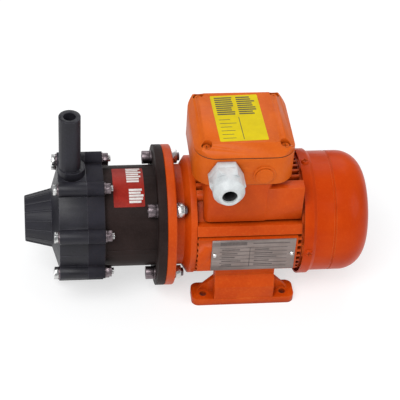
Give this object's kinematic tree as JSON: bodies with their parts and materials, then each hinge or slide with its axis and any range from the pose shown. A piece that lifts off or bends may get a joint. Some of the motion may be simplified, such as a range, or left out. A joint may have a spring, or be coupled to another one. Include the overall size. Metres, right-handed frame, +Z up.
{
  "type": "magnetic drive pump",
  "caption": "Sealed magnetic drive pump: black moulded head with front suction and top discharge, bolted to a finned foot-and-flange electric motor with a terminal box.",
  "frame": {"origin": "centre of the foot bolt pattern on the plane the feet stand on", "axes": "+X along the shaft from the suction end to the fan end, +Z up along the discharge pipe, -Y the side with the cable gland and nameplate"},
  "size_m": [0.337, 0.153, 0.196],
  "materials": {
    "orange_paint": "satin paint on cast aluminium and sheet steel",
    "black_plastic": "glass-filled polypropylene moulding",
    "dark_plastic": "moulded polypropylene",
    "carbon": "carbon graphite, smooth",
    "ceramic": "polished alumina ceramic",
    "magnet": "sintered magnet",
    "rubber": "matt",
    "stainless": "stainless",
    "zinc_steel": "zinc plated",
    "machined_steel": "turned",
    "core_steel": "stacked laminations",
    "copper": "varnished copper wire",
    "cast_aluminium": "as cast",
    "plate_aluminium": "brushed sheet",
    "grey_plastic": "moulded polyamide",
    "phenolic": "moulded phenolic",
    "brass": "turned brass"
  },
  "bodies": {
    "pump_body": {"front_casing": "black_plastic", "suction_spider": "black_plastic", "front_thrust_ring": "ceramic", "pump_shaft": "ceramic", "rear_casing": "black_plastic", "casing_o_ring": "rubber", "bracket": "black_plastic", "casing_bolts": "stainless", "casing_washers": "stainless", "casing_nuts": "stainless", "flange_bolts": "stainless", "flange_washers": "stainless", "flange_nuts": "stainless", "motor_flange": "orange_paint", "motor_housing": "orange_paint", "fan_end_shield": "orange_paint", "stator_core": "core_steel", "stator_windings": "copper", "shaft_seal": "rubber", "bearing_outer_rings": "machined_steel", "wave_spring": "zinc_steel", "tie_rods": "zinc_steel", "fan_cover": "orange_paint", "cover_screws": "orange_paint", "box_gasket": "rubber", "terminal_box": "orange_paint", "lid_gasket": "rubber", "box_lid": "orange_paint", "lid_screws": "orange_paint", "terminal_board": "phenolic", "terminal_studs": "brass", "gland_body": "grey_plastic", "gland_seal": "rubber", "gland_nut": "grey_plastic", "entry_plug": "orange_paint", "near_foot": "orange_paint", "far_foot": "orange_paint", "foot_screws": "zinc_steel", "nameplate": "plate_aluminium", "nameplate_rivets": "stainless"},
    "motor_rotor": {"motor_shaft": "machined_steel", "rotor_core": "core_steel", "rotor_rings": "cast_aluminium", "bearing_inner_rings": "machined_steel", "shaft_key": "machined_steel", "drive_hub": "machined_steel", "drive_magnets": "magnet", "hub_grub_screw": "zinc_steel", "fan": "dark_plastic"},
    "impeller_set": {"impeller": "dark_plastic", "impeller_bush": "carbon", "magnet_capsule": "dark_plastic", "inner_magnets": "magnet", "capsule_cap": "dark_plastic"},
    "ball_set": {"bearing_balls": "machined_steel"}
  },
  "joints": [
    {"name": "motor_spin", "type": "hinge", "parent": "pump_body", "child": "motor_rotor", "pos_m": [0, 0, 0.071], "axis": [1, 0, 0], "continuous": true},
    {"name": "impeller_spin", "type": "hinge", "parent": "pump_body", "child": "impeller_set", "pos_m": [0, 0, 0.071], "axis": [1, 0, 0], "continuous": true},
    {"name": "ball_spin", "type": "hinge", "parent": "pump_body", "child": "ball_set", "pos_m": [0, 0, 0.071], "axis": [1, 0, 0], "continuous": true}
  ],
  "couplings": [
    {"joint": "impeller_spin", "follows": "motor_spin", "ratio": 1},
    {"joint": "ball_spin", "follows": "motor_spin", "ratio": 0.367}
  ]
}
